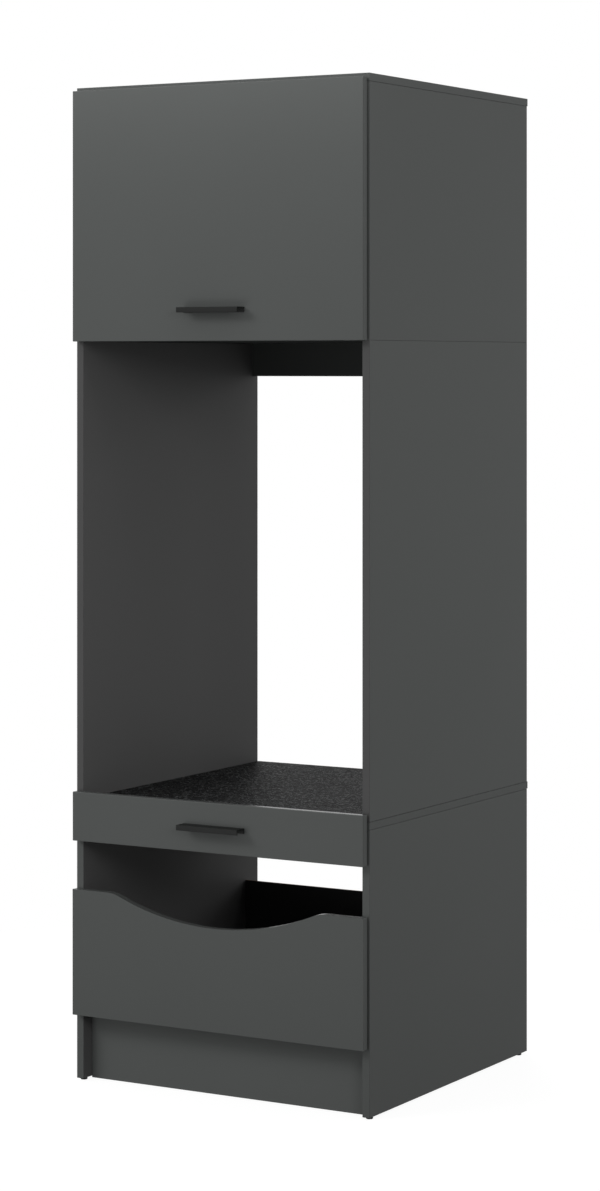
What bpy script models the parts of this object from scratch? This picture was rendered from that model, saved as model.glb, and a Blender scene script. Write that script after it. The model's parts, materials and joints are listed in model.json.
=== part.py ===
"""Washing machine cabinet: a tall housing with a lift-up flap, a pull-out shelf and a laundry drawer.

Metres, +Z up, the floor at Z = 0, the front towards -Y, the origin under the middle of the whole.
"""
from math import asin, atan2, cos, degrees, pi, radians, sin, sqrt

import bmesh
import bpy
from mathutils import Vector

mm = 0.001

# Carcass
cabinet_width = 675 * mm
side_depth = 680 * mm
board = 16 * mm                  # laminated chipboard
hdf = 3 * mm                     # thin fibreboard of backs and drawer bottom
fit_gap = 0.3 * mm               # between pieces that touch
edge_radius = 0.8 * mm           # edge banding
edge_segments = 2
glide_height = 4 * mm
glide_radius = 7 * mm
glide_inset_front = 14 * mm
glide_inset_rear = 26 * mm
base_side_height = 549.5 * mm
bay_side_height = 919.5 * mm
housing_depth = 1 * mm           # the bay sides stand this deep in the worktop's rebated ends
upper_side_height = 495 * mm
rail_inset = 8 * mm              # rear rails lie this far inside the sides' rear edges
bay_rail_height = 71.5 * mm
base_rail_height = 80 * mm
back_inset = 2 * mm              # nailed back stays this far inside the outline

# Base
plinth_setback = 30 * mm
plinth_floor_gap = 1 * mm
base_bottom_height = 134 * mm    # underside of the bottom panel above the floor
back_board_setback = 52 * mm     # black board's front face, ahead of the sides' rear edges
back_board_top = 315 * mm        # above the floor
groove_depth = 8 * mm

# Fronts
front_gap = 4 * mm               # between the carcass and the fronts
front_side_reveal = 3 * mm
flap_top_reveal = 7.5 * mm       # below the top panel's upper face
flap_height = 503.5 * mm
pullout_front_height = 98.5 * mm
pullout_front_rise = 14.5 * mm   # pull-out front's top above the worktop
laundry_slot = 97.5 * mm         # open height between the pull-out front and the drawer front
drawer_front_drop = 14.5 * mm    # drawer front's lower edge below the base bottom's upper face
wave_depth = 50 * mm
wave_radius = 585 * mm           # hollow arc in the middle
shoulder_radius = 80 * mm        # round shoulders beside it
wave_steps = 48
shoulder_steps = 9
front_edge_radius = 1.2 * mm

# Handles
handle_length = 140 * mm
handle_height = 10.5 * mm
handle_depth = 28 * mm
handle_wall = 2.5 * mm
handle_edge = 0.5 * mm
flap_handle_rise = 61 * mm       # handle's middle above the flap's lower edge

# Shelf in the upper cabinet
shelf_height = 236 * mm          # above the upper cabinet's bottom panel
shelf_setback = 85 * mm
shelf_side_gap = 1 * mm
shelf_back_gap = 4 * mm
pin_radius = 2.5 * mm
pin_length = 14 * mm
pin_in_side = 8 * mm
pin_hole_gap = 0.2 * mm
pin_inset = 60 * mm

# Overlay hinges of the flap
hinge_inset = 90 * mm            # hinge's middle from the cabinet's outer face
hinge_width = 50 * mm
hinge_plate = 1.2 * mm
hinge_knuckle_radius = 1.7 * mm
hinge_pin_radius = 0.8 * mm
hinge_pin_clearance = 0.12 * mm
hinge_axis_drop = 1.5 * mm       # axis below the flap's top edge
hinge_leaf_depth = 32 * mm
hinge_leaf_height = 34 * mm
hinge_leaf_drop = 3.4 * mm       # flap leaf's plate starts this far below the axis
hinge_tongue_lap = 1.7 * mm      # the knuckle's tongue laps the plate
knuckle_gap = 0.3 * mm
knuckle_sides = 20

# Gas strut
strut_inset = 12 * mm            # strut's axis from the side panel's inner face
strut_flap_reach = 70 * mm       # flap stud below the hinge axis
strut_flap_offset = 20 * mm      # flap stud behind the flap's back face
strut_body_setback = 58 * mm     # carcass stud behind the carcass front
strut_body_drop = 272 * mm       # carcass stud below the hinge axis
strut_tube_radius = 7.5 * mm
strut_rod_radius = 3 * mm
strut_eye_radius = 8 * mm
strut_eye_width = 8 * mm
strut_stud_radius = 3.5 * mm
strut_stud_clearance = 0.3 * mm
strut_cap = 12 * mm              # closed ends of the tube
strut_neck = 10 * mm             # end fitting between eye and tube
strut_neck_radius = 4 * mm
strut_rod_gap = 0.3 * mm
strut_rod_out = 14 * mm          # rod that shows when the flap is shut
bracket_plate = 2 * mm
bracket_width = 26 * mm
bracket_height = 36 * mm
bracket_arm = 4 * mm

# Runners, seen along Y: u runs from the carcass side to the drawer, v is the height
runner_thickness = 12.7 * mm
runner_half_height = 22.8 * mm
runner_rear_clearance = 180 * mm  # runners end this far ahead of the sides' rear edges
runner_front_gap = 2 * mm
runner_sheet = 1.2 * mm
runner_lip = 1.3 * mm
runner_outer_reach = 10.9 * mm
runner_middle_start = 3 * mm
runner_middle_reach = 9.3 * mm
runner_track = 1.9 * mm
runner_inner_start = 4.6 * mm
runner_inner_track = 2.2 * mm
runner_step = 8 * mm
runner_middle_short = 30 * mm    # the middle member is shorter by this
runner_hole_radius = 2.6 * mm
runner_hole_inset = 35 * mm
runner_hole_count = 3
runner_hole_sides = 12

# Pull-out shelf
pullout_past_runner = 12 * mm    # board and cleats are longer than the runners by this
pullout_board_rise = 4.5 * mm    # board and cleats above the front's lower edge
cleat_height = 42 * mm           # above the board, which lies between the cleats

# Laundry drawer
drawer_past_runner = 20 * mm     # drawer sides are longer than the runners by this
drawer_side_rise = 20.5 * mm     # sides above the front's lower edge
drawer_side_height = 56 * mm
drawer_bottom_rise = 10 * mm     # bottom's groove above the sides' lower edge
drawer_bottom_board = 8 * mm     # rebated round its edge to a tongue as thick as the thin boards

# Places that follow from the sizes above
half_width = cabinet_width / 2
inner_half = half_width - board
front_reach = front_gap + board + handle_depth + fit_gap
rear_reach = side_depth + fit_gap + hdf
front_plane = (front_reach - rear_reach) / 2          # the carcass front's Y
side_rear = front_plane + side_depth
back_face = front_plane + rear_reach
fronts_rear = front_plane - front_gap
fronts_face = fronts_rear - board
side_bottom = glide_height
base_side_top = side_bottom + base_side_height
worktop_low = base_side_top + fit_gap
worktop_top = base_side_top + board
bay_side_low = worktop_top - housing_depth + fit_gap
bay_side_top = worktop_top + bay_side_height
upper_side_low = bay_side_top + fit_gap
upper_side_top = bay_side_top + upper_side_height
top_panel_low = upper_side_top + fit_gap
cabinet_top = upper_side_top + board
upper_floor = bay_side_top + board
flap_top = cabinet_top - flap_top_reveal
flap_bottom = flap_top - flap_height
front_half = half_width - front_side_reveal
base_floor = base_bottom_height + board
pullout_front_top = worktop_top + pullout_front_rise
pullout_front_bottom = pullout_front_top - pullout_front_height
drawer_front_bottom = base_floor - drawer_front_drop
drawer_front_height = pullout_front_bottom - laundry_slot - drawer_front_bottom
runner_length = side_depth - runner_rear_clearance
pullout_depth = runner_length + pullout_past_runner
drawer_depth = runner_length + drawer_past_runner
overrun = 10 * mm                # cutters pass the faces that they cut by this much

hinge_axis = Vector((0, front_plane - front_gap / 2, flap_top - hinge_axis_drop))


def material(name, colour, roughness, metallic=0.0):
    """A Principled BSDF with one colour, roughness and metallic value."""
    made = bpy.data.materials.new(name)
    made.use_nodes = True
    shader = made.node_tree.nodes["Principled BSDF"]
    shader.inputs["Base Color"].default_value = (*colour, 1)
    shader.inputs["Roughness"].default_value = roughness
    shader.inputs["Metallic"].default_value = metallic
    return made


def start():
    """Empties the scene and makes the two collections."""
    for old in list(bpy.data.objects):
        bpy.data.objects.remove(old, do_unlink=True)
    for name in ("washing_machine_cabinet", "cutters"):
        bpy.context.scene.collection.children.link(bpy.data.collections.new(name))


def place(thing, collection="washing_machine_cabinet"):
    """Moves an object from wherever it was made into a collection."""
    for old in list(thing.users_collection):
        old.objects.unlink(thing)
    bpy.data.collections[collection].objects.link(thing)
    return thing


def finish(thing, name, look):
    """Names a piece and gives it its material."""
    thing.name = name
    thing.data.name = name
    thing.data.materials.clear()
    thing.data.materials.append(look)
    return place(thing)


def box(low, high):
    """A cube primitive stretched between two corners, with its scale applied."""
    low, high = Vector(low), Vector(high)
    bpy.ops.mesh.primitive_cube_add(size=1, location=(low + high) / 2)
    made = bpy.context.object
    made.scale = high - low
    bpy.ops.object.transform_apply(location=False, rotation=False, scale=True)
    return made


def hang(child, parent):
    """Parents an object to another and leaves it where it is."""
    bpy.context.view_layer.update()
    child.parent = parent
    child.matrix_parent_inverse = parent.matrix_world.inverted()


def carry(name, spot, carried):
    """An empty on a joint's axis that carries the pieces of one moving body."""
    empty = bpy.data.objects.new(name, None)
    empty.empty_display_size = board
    empty.location = spot
    bpy.data.collections["washing_machine_cabinet"].objects.link(empty)
    for piece in carried:
        hang(bpy.data.objects[piece], empty)
    return empty


def soften(thing, width, segments=1):
    """Rounds the sharp edges of a piece."""
    bevel = thing.modifiers.new("edges", "BEVEL")
    bevel.width = width
    bevel.segments = segments
    bevel.limit_method = "ANGLE"
    bevel.angle_limit = radians(40)
    bevel.use_clamp_overlap = True


def panel(name, low, high, look, radius=edge_radius):
    """A board with softened edges."""
    made = box(low, high)
    soften(made, radius, edge_segments)
    return finish(made, name, look)


def cylinder(start_point, end_point, radius, sides=24):
    """A cylinder primitive between two points."""
    start_point, end_point = Vector(start_point), Vector(end_point)
    run = end_point - start_point
    bpy.ops.mesh.primitive_cylinder_add(
        vertices=sides, radius=radius, depth=run.length, location=(start_point + end_point) / 2,
        rotation=run.to_track_quat("Z", "Y").to_euler())
    made = bpy.context.object
    bpy.ops.object.transform_apply(location=False, rotation=True, scale=False)
    return made


def smooth(thing):
    """Shades a round piece smooth, with its sharp edges kept."""
    thing.data.shade_smooth()
    thing.data.set_sharp_from_angle(angle=radians(35))


def cut(thing, cutter):
    """Takes a cutter's shape out of a piece."""
    cutter.name = thing.name + "_cutter"
    cutter.hide_render = True
    cutter.display_type = "WIRE"
    place(cutter, "cutters")
    hang(cutter, thing)
    taken = thing.modifiers.new("cut", "BOOLEAN")
    taken.operation = "DIFFERENCE"
    taken.object = cutter


def join(thing, others):
    """Unites touching or overlapping shapes into one closed body."""
    for other in others:
        united = thing.modifiers.new("union", "BOOLEAN")
        united.operation = "UNION"
        united.object = other
        bpy.context.view_layer.objects.active = thing
        bpy.ops.object.modifier_apply(modifier=united.name)
        bpy.data.objects.remove(other, do_unlink=True)
    return thing


def outline(points, thickness, plane):
    """A flat outline, extruded to a thickness: plane XZ faces -Y, plane YZ faces +X."""
    data = bpy.data.curves.new("outline", "CURVE")
    data.dimensions = "2D"
    data.fill_mode = "BOTH"
    data.extrude = thickness / 2
    line = data.splines.new("POLY")
    line.points.add(len(points) - 1)
    for spot, (across, up) in zip(line.points, points):
        spot.co = (across, up, 0, 1)
    line.use_cyclic_u = True
    made = bpy.data.objects.new("outline", data)
    bpy.context.scene.collection.objects.link(made)
    made.rotation_euler = (pi / 2, 0, 0) if plane == "XZ" else (pi / 2, 0, pi / 2)
    return made


def solid_from(curve):
    """Makes a filled curve a mesh with its caps welded, in the curve's place."""
    bpy.context.view_layer.update()
    evaluated = curve.evaluated_get(bpy.context.evaluated_depsgraph_get())
    data = bpy.data.meshes.new_from_object(evaluated)
    welded = bmesh.new()
    welded.from_mesh(data)
    bmesh.ops.remove_doubles(welded, verts=welded.verts, dist=mm / 100)
    welded.to_mesh(data)
    welded.free()
    made = bpy.data.objects.new(curve.name, data)
    bpy.context.scene.collection.objects.link(made)
    made.matrix_world = curve.matrix_world
    bpy.data.objects.remove(curve, do_unlink=True)
    return made


def arc(centre, radius, first, last, steps):
    """Points on an arc, angles from the first axis, both ends included."""
    return [(centre[0] + radius * cos(first + (last - first) * i / steps),
             centre[1] + radius * sin(first + (last - first) * i / steps)) for i in range(steps + 1)]


def wave_outline(half, height):
    """The drawer front: square corners, round shoulders and one hollow arc, all tangent."""
    hollow = (0, height - wave_depth + wave_radius)
    reach = wave_radius + shoulder_radius
    shoulder_x = sqrt(reach ** 2 - (hollow[1] - height + shoulder_radius) ** 2)
    shoulder = (shoulder_x, height - shoulder_radius)
    lean = asin(shoulder_x / reach)
    right = arc(shoulder, shoulder_radius, pi / 2, pi / 2 + lean, shoulder_steps)
    middle = arc(hollow, wave_radius, -pi / 2 + lean, -pi / 2 - lean, wave_steps)
    left = arc((-shoulder_x, shoulder[1]), shoulder_radius, pi / 2 - lean, pi / 2, shoulder_steps)
    return [(-half, 0), (half, 0), (half, height)] + right[:-1] + middle + left[1:] + [(-half, height)]


def make_carcass(looks):
    """Side panels, rails, backs, plinth, worktop and top panel."""
    graphite, black_board, laminate = looks["board"], looks["black_board"], looks["worktop"]
    inner = inner_half - fit_gap
    rail_rear = side_rear - rail_inset
    back_board_front = side_rear - back_board_setback
    for side, label in ((-1, "left"), (1, "right")):
        outer_x, inner_x = side * half_width, side * inner_half
        low_x, high_x = min(outer_x, inner_x), max(outer_x, inner_x)
        base = panel("base_side_" + label, (low_x, front_plane, side_bottom),
                     (high_x, side_rear, base_side_top), graphite)
        groove_x = side * (inner_half + groove_depth)
        cut(base, box((min(groove_x, inner_x - side * overrun), back_board_front - fit_gap, base_floor),
                      (max(groove_x, inner_x - side * overrun), back_board_front + hdf + fit_gap,
                       back_board_top + fit_gap)))
        panel("bay_side_" + label, (low_x, front_plane, bay_side_low),
              (high_x, side_rear, bay_side_top), graphite)
        upper = panel("upper_side_" + label, (low_x, front_plane, upper_side_low),
                      (high_x, side_rear, upper_side_top), graphite)
        for spot in shelf_pin_places():
            cut(upper, cylinder((inner_x - side * overrun, spot[0], spot[1]),
                                (side * (inner_half + pin_in_side + fit_gap), spot[0], spot[1]),
                                pin_radius + pin_hole_gap, 16))
    panel("base_bottom", (-inner, front_plane, base_bottom_height), (inner, side_rear, base_floor), graphite)
    panel("plinth", (-inner, front_plane + plinth_setback, plinth_floor_gap),
          (inner, front_plane + plinth_setback + board, base_bottom_height - fit_gap), graphite)
    panel("base_rear_rail", (-inner, rail_rear - board, base_side_top - base_rail_height),
          (inner, rail_rear, base_side_top), graphite)
    in_groove = inner_half + groove_depth - fit_gap
    finish(box((-in_groove, back_board_front, base_floor + fit_gap),
               (in_groove, back_board_front + hdf, back_board_top)), "base_back_board", black_board)
    top = panel("worktop", (-half_width, front_plane, worktop_low), (half_width, back_face, worktop_top),
                laminate)
    for side in (-1, 1):
        step_x, open_x = side * (inner_half - fit_gap), side * (half_width + overrun)
        cut(top, box((min(step_x, open_x), front_plane - overrun, worktop_top - housing_depth),
                     (max(step_x, open_x), back_face + overrun, worktop_top + overrun)))
    panel("bay_rear_rail", (-inner, rail_rear - board, bay_side_top - bay_rail_height),
          (inner, rail_rear, bay_side_top), graphite)
    panel("upper_bottom", (-inner, front_plane, upper_side_low), (inner, side_rear, upper_floor), graphite)
    back_half = half_width - back_inset
    finish(box((-back_half, side_rear + fit_gap, upper_side_low + back_inset),
               (back_half, back_face, upper_side_top)), "upper_back", black_board)
    panel("top_panel", (-half_width, front_plane, top_panel_low), (half_width, back_face, cabinet_top),
          graphite)
    for side, label in ((-1, "left"), (1, "right")):
        for y, end in ((front_plane + glide_inset_front, "front"), (side_rear - glide_inset_rear, "rear")):
            x = side * (half_width - board / 2)
            glide = cylinder((x, y, 0), (x, y, glide_height - fit_gap), glide_radius, 24)
            soften(glide, edge_radius, 1)
            smooth(finish(glide, f"glide_{end}_{label}", looks["black_plastic"]))


def shelf_pin_places():
    """Y and Z of the two shelf pins in each upper side."""
    pin_z = upper_floor + shelf_height - fit_gap - pin_radius
    return ((front_plane + shelf_setback + pin_inset, pin_z), (side_rear - pin_inset, pin_z))


def make_upper_shelf(looks):
    """One loose shelf on four steel pins."""
    low = upper_floor + shelf_height
    half = inner_half - shelf_side_gap
    panel("upper_shelf", (-half, front_plane + shelf_setback, low),
          (half, side_rear - shelf_back_gap, low + board),
          looks["board"])
    for side, label in ((-1, "left"), (1, "right")):
        for (y, z), end in zip(shelf_pin_places(), ("front", "rear")):
            pin = cylinder((side * (inner_half + pin_in_side), y, z),
                           (side * (inner_half + pin_in_side - pin_length), y, z), pin_radius, 16)
            smooth(finish(pin, f"shelf_pin_{end}_{label}", looks["zinc"]))


def make_handle(name, middle_z, looks):
    """A channel handle, open below: back flange, flat top and front lip."""
    inside = handle_depth - handle_wall
    drop = handle_height - handle_wall
    points = [(0, 0), (-handle_wall, 0), (-handle_wall, drop), (-inside, drop), (-inside, 0),
              (-handle_depth, 0), (-handle_depth, handle_height), (0, handle_height)]
    handle = solid_from(outline(points[::-1], handle_length, "YZ"))
    handle.location = (0, fronts_face - fit_gap, middle_z - handle_height / 2)
    soften(handle, handle_edge, 1)
    return finish(handle, name, looks["handle_black"])


def make_flap(looks):
    """The lift-up door, its handle, two overlay hinges and one gas strut."""
    panel("flap_door", (-front_half, fronts_face, flap_bottom), (front_half, fronts_rear, flap_top),
          looks["front"], front_edge_radius)
    make_handle("flap_handle", flap_bottom + flap_handle_rise, looks)
    for side, label in ((-1, "left"), (1, "right")):
        make_hinge(side * (half_width - hinge_inset), label, looks)
    make_strut(looks)


def make_hinge(x, label, looks):
    """A cranked overlay hinge: two leaves, whose knuckles share one pin."""
    knuckle = hinge_width / 3
    hole = hinge_pin_radius + hinge_pin_clearance
    y, z = hinge_axis.y, hinge_axis.z
    low_x = x - hinge_width / 2
    flange_rear = front_plane - fit_gap
    leaf_top = top_panel_low - fit_gap
    carcass = box((low_x, flange_rear - hinge_plate, leaf_top - hinge_plate),
                  (low_x + hinge_width, front_plane + hinge_leaf_depth, leaf_top))
    parts = []
    for i in (0, 2):
        start_x = low_x + i * knuckle + (knuckle_gap if i else 0)
        end_x = low_x + (i + 1) * knuckle - (0 if i else knuckle_gap)
        parts.append(box((start_x, flange_rear - hinge_plate, leaf_top - hinge_plate / 2),
                         (end_x, flange_rear, z)))
        parts.append(cylinder((start_x, y, z), (end_x, y, z), hinge_knuckle_radius, knuckle_sides))
    join(carcass, parts)
    carcass.name = "hinge_carcass_leaf_" + label
    cut(carcass, cylinder((low_x - overrun, y, z), (low_x + hinge_width + overrun, y, z), hole,
                          knuckle_sides))
    finish(carcass, "hinge_carcass_leaf_" + label, looks["zinc"])
    leaf_front = fronts_rear + fit_gap
    flap_leaf = box((low_x, leaf_front, z - hinge_leaf_height),
                    (low_x + hinge_width, leaf_front + hinge_plate, z - hinge_leaf_drop))
    tongue = box((low_x + knuckle, leaf_front, z - hinge_leaf_drop - hinge_tongue_lap),
                 (low_x + 2 * knuckle, leaf_front + hinge_plate, z))
    barrel = cylinder((low_x + knuckle, y, z), (low_x + 2 * knuckle, y, z), hinge_knuckle_radius,
                      knuckle_sides)
    join(flap_leaf, [tongue, barrel])
    flap_leaf.name = "hinge_flap_leaf_" + label
    cut(flap_leaf, cylinder((low_x - overrun, y, z), (low_x + hinge_width + overrun, y, z), hole,
                            knuckle_sides))
    finish(flap_leaf, "hinge_flap_leaf_" + label, looks["zinc"])
    pin = cylinder((low_x, y, z), (low_x + hinge_width, y, z), hinge_pin_radius, knuckle_sides)
    smooth(finish(pin, "hinge_pin_" + label, looks["zinc"]))


def strut_studs():
    """Middle points of the carcass stud and the flap stud with the flap shut."""
    x = inner_half - strut_inset
    carcass = Vector((x, front_plane + strut_body_setback, hinge_axis.z - strut_body_drop))
    flap = Vector((x, fronts_rear + strut_flap_offset, hinge_axis.z - strut_flap_reach))
    return carcass, flap


def make_strut(looks):
    """A gas strut between a bracket on the right side panel and one on the flap."""
    foot, head = strut_studs()
    along = (head - foot).normalized()
    half_eye = Vector((strut_eye_width / 2, 0, 0))
    hole_reach = Vector((strut_eye_width, 0, 0))
    tube_start = foot + along * strut_neck
    tube_end = head - along * (strut_neck + strut_rod_out)
    bore_end = tube_end + along * overrun
    tube = cylinder(tube_start, tube_end, strut_tube_radius, 24)
    eye = cylinder(foot - half_eye, foot + half_eye, strut_eye_radius, 24)
    neck = cylinder(foot + along * strut_eye_radius / 2, tube_start + along * strut_rod_radius,
                    strut_neck_radius, 16)
    join(tube, [eye, neck])
    tube.name = "strut_tube"
    cut(tube, cylinder(tube_start + along * strut_cap, bore_end, strut_rod_radius + strut_rod_gap, 16))
    cut(tube, cylinder(foot - hole_reach, foot + hole_reach, strut_stud_radius + strut_stud_clearance, 20))
    smooth(finish(tube, "strut_tube", looks["strut_black"]))
    rod_start = tube_start + along * (strut_cap + strut_rod_gap)
    rod = cylinder(rod_start, head - along * strut_eye_radius / 2, strut_rod_radius, 16)
    rod_eye = cylinder(head - half_eye, head + half_eye, strut_eye_radius, 24)
    join(rod, [rod_eye])
    smooth(finish(rod, "strut_rod", looks["steel"]))
    make_strut_brackets(foot, head, looks)


def make_strut_brackets(foot, head, looks):
    """The plate with a stud on the side panel, and the angle on the flap, whose arm is beside the rod's eye."""
    plate_outer = inner_half - fit_gap
    carcass = box((plate_outer - bracket_plate, foot.y - bracket_width / 2, foot.z - bracket_height / 2),
                  (plate_outer, foot.y + bracket_width / 2, foot.z + bracket_height / 2))
    stud = cylinder((plate_outer - bracket_plate / 2, foot.y, foot.z),
                    (foot.x - strut_eye_width / 2, foot.y, foot.z), strut_stud_radius, 20)
    join(carcass, [stud])
    soften(carcass, edge_radius / 2)
    finish(carcass, "strut_bracket_side", looks["zinc"])
    arm_outer = head.x - strut_eye_width / 2 - fit_gap
    plate_front = fronts_rear + fit_gap
    flap = box((arm_outer - bracket_width, plate_front, head.z - bracket_height / 2),
               (arm_outer, plate_front + bracket_plate, head.z + bracket_height / 2))
    arm = box((arm_outer - bracket_arm, plate_front, head.z - strut_eye_radius),
              (arm_outer, head.y + strut_eye_radius, head.z + strut_eye_radius))
    join(flap, [arm])
    soften(flap, edge_radius / 2)
    finish(flap, "strut_bracket_flap", looks["zinc"])


def runner_outlines():
    """The three nested profiles of a runner, each as points (u, v)."""
    half, sheet, lip = runner_half_height, runner_sheet, runner_lip
    flange = half - sheet
    outer = mirrored([(sheet, flange), (runner_outer_reach - sheet, flange),
                      (runner_outer_reach - sheet, flange - lip), (runner_outer_reach, flange - lip),
                      (runner_outer_reach, half), (0, half)])
    start_u, end_u = runner_middle_start, runner_middle_reach
    rim = flange - fit_gap
    bed = rim - runner_track
    middle = mirrored([(start_u + sheet, bed), (end_u - sheet, bed), (end_u - sheet, bed - lip),
                       (end_u, bed - lip), (end_u, rim), (start_u, rim)])
    inner_rim = bed - fit_gap
    inner_bed = inner_rim - runner_inner_track
    neck_rim = inner_rim - lip
    far = runner_thickness
    inner = mirrored([(far - sheet, inner_bed - lip), (runner_inner_start, inner_bed - lip),
                      (runner_inner_start, inner_rim), (runner_step - fit_gap, inner_rim),
                      (runner_step - fit_gap, neck_rim), (far, neck_rim)])
    return {"outer": outer, "middle": middle, "inner": inner}


def mirrored(upper):
    """A closed outline from its upper half, listed from the web outwards and back."""
    return upper + [(u, -v) for u, v in reversed(upper)]


def make_runner(side, label, group, middle_z, looks):
    """Three nested steel members between the carcass side and the drawer."""
    lengths = {"outer": runner_length, "middle": runner_length - runner_middle_short, "inner": runner_length}
    for member, points in runner_outlines().items():
        facing = [(-side * u, v) for u, v in points]
        if side > 0:
            facing.reverse()
        made = solid_from(outline(facing, lengths[member], "XZ"))
        made.location = (side * (inner_half - fit_gap), front_plane + runner_front_gap + lengths[member] / 2,
                         middle_z)
        finish(made, f"{group}_runner_{member}_{label}", looks["zinc"])
        if member != "middle":
            drill_runner(made, lengths[member])


def drill_runner(member, length):
    """A row of screw holes along the web of a fixed or a moving member."""
    x, middle_y, z = member.location
    reach = length / 2 - runner_hole_inset
    past = runner_thickness + overrun
    for i in range(runner_hole_count):
        y = middle_y - reach + 2 * reach * i / (runner_hole_count - 1)
        cut(member, cylinder((x - past, y, z), (x + past, y, z), runner_hole_radius, runner_hole_sides))


def box_half_width():
    """Half the width of what hangs between the runners."""
    return inner_half - runner_thickness - 2 * fit_gap


def make_pullout(looks):
    """The pull-out shelf under the worktop: front, handle, board, cleats and runners."""
    panel("pullout_front", (-front_half, fronts_face, pullout_front_bottom),
          (front_half, fronts_rear, pullout_front_top), looks["front"], front_edge_radius)
    make_handle("pullout_handle", (pullout_front_bottom + pullout_front_top) / 2, looks)
    half = box_half_width()
    low = pullout_front_bottom + pullout_board_rise
    front_y = fronts_rear + fit_gap
    inner = half - board - fit_gap
    panel("pullout_board", (-inner, front_y, low), (inner, front_y + pullout_depth, low + board),
          looks["board"])
    for side, label in ((-1, "left"), (1, "right")):
        near, far = side * (half - board), side * half
        panel("pullout_cleat_" + label, (min(near, far), front_y, low),
              (max(near, far), front_y + pullout_depth, low + board + cleat_height), looks["board"])
        make_runner(side, label, "pullout", low + (board + cleat_height) / 2, looks)


def make_drawer(looks):
    """The laundry drawer: wavy front, low sides, back, tongued bottom and runners."""
    front = outline(wave_outline(front_half, drawer_front_height), board, "XZ")
    front = solid_from(front)
    front.location = (0, (fronts_face + fronts_rear) / 2, drawer_front_bottom)
    soften(front, front_edge_radius, edge_segments)
    finish(front, "drawer_front", looks["front"])
    half = box_half_width()
    low = drawer_front_bottom + drawer_side_rise
    front_y = fronts_rear + fit_gap
    rear_y = front_y + drawer_depth
    bottom_low = low + drawer_bottom_rise
    for side, label in ((-1, "left"), (1, "right")):
        near, far = side * (half - board), side * half
        made = panel("drawer_side_" + label, (min(near, far), front_y, low),
                     (max(near, far), rear_y, low + drawer_side_height), looks["board"])
        bed = side * (half - board + groove_depth)
        open_x = near - side * overrun
        cut(made, box((min(bed, open_x), front_y - overrun, bottom_low - fit_gap),
                      (max(bed, open_x), rear_y + overrun, bottom_low + hdf + fit_gap)))
        make_runner(side, label, "drawer", low + drawer_side_height / 2, looks)
    inner = half - board - fit_gap
    panel("drawer_back", (-inner, rear_y - board, bottom_low + hdf + fit_gap),
          (inner, rear_y, low + drawer_side_height), looks["board"])
    in_groove = half - board + groove_depth - fit_gap
    bottom = box((-in_groove, front_y, bottom_low), (in_groove, rear_y, bottom_low + hdf))
    bed = box((-inner, front_y, bottom_low),
              (inner, rear_y - board - fit_gap, bottom_low + drawer_bottom_board))
    finish(join(bottom, [bed]), "drawer_bottom", looks["black_board"])


def print_joints():
    """Prints the flap's axis and how far the strut turns and stretches over a quarter turn."""
    foot, head = strut_studs()
    arm = head - hinge_axis
    raised = hinge_axis + Vector((arm.x, arm.z, -arm.y))
    shut, lifted = head - foot, raised - foot
    swing = atan2(-lifted.y, lifted.z) - atan2(-shut.y, shut.z)
    print(f"flap axis Y {hinge_axis.y:.5f} Z {hinge_axis.z:.5f}, strut foot Y {foot.y:.5f} Z {foot.z:.5f}")
    print(f"strut swing {degrees(swing):.5f} degrees, stroke {lifted.yz.length - shut.yz.length:.6f} m")
    print(f"strut direction Y {shut.y / shut.yz.length:.6f} Z {shut.z / shut.yz.length:.6f}")


def carry_moving_pieces():
    """Empties on the joints' axes, one for each moving body."""
    foot, head = strut_studs()
    both = ("left", "right")
    flap_pieces = ["flap_door", "flap_handle", "strut_bracket_flap"]
    flap_pieces += ["hinge_flap_leaf_" + end for end in both]
    carry("flap_axis", hinge_axis, flap_pieces)
    tube_axis = carry("strut_foot_axis", foot, ["strut_tube"])
    hang(carry("strut_head_axis", head, ["strut_rod"]), tube_axis)
    pullout = ["front", "handle", "board"]
    pullout += [f"{part}_{end}" for part in ("cleat", "runner_inner") for end in both]
    drawer = ["front", "back", "bottom"]
    drawer += [f"{part}_{end}" for part in ("side", "runner_inner") for end in both]
    front_line = Vector((0, fronts_rear, 0))
    for group, parts, height in (("pullout", pullout, pullout_front_bottom),
                                 ("drawer", drawer, drawer_front_bottom)):
        start_point = front_line + Vector((0, 0, height))
        carry(group + "_slide", start_point, [f"{group}_{part}" for part in parts])
        for end in both:
            carry(f"{group}_runner_slide_{end}", start_point, [f"{group}_runner_middle_{end}"])


def main():
    start()
    looks = {
        "board": material("graphite_board", (0.075, 0.079, 0.078), 0.5),
        "front": material("graphite_front", (0.075, 0.08, 0.079), 0.45),
        "black_board": material("black_board", (0.012, 0.012, 0.012), 0.6),
        "worktop": material("worktop_laminate", (0.02, 0.02, 0.021), 0.4),
        "handle_black": material("handle_black", (0.012, 0.012, 0.013), 0.4),
        "black_plastic": material("black_plastic", (0.02, 0.02, 0.02), 0.5),
        "zinc": material("zinc_steel", (0.6, 0.61, 0.62), 0.35, 1.0),
        "steel": material("bright_steel", (0.75, 0.75, 0.76), 0.2, 1.0),
        "strut_black": material("strut_black", (0.02, 0.02, 0.02), 0.4),
    }
    make_carcass(looks)
    make_upper_shelf(looks)
    make_flap(looks)
    make_pullout(looks)
    make_drawer(looks)
    carry_moving_pieces()
    print_joints()


main()
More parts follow.
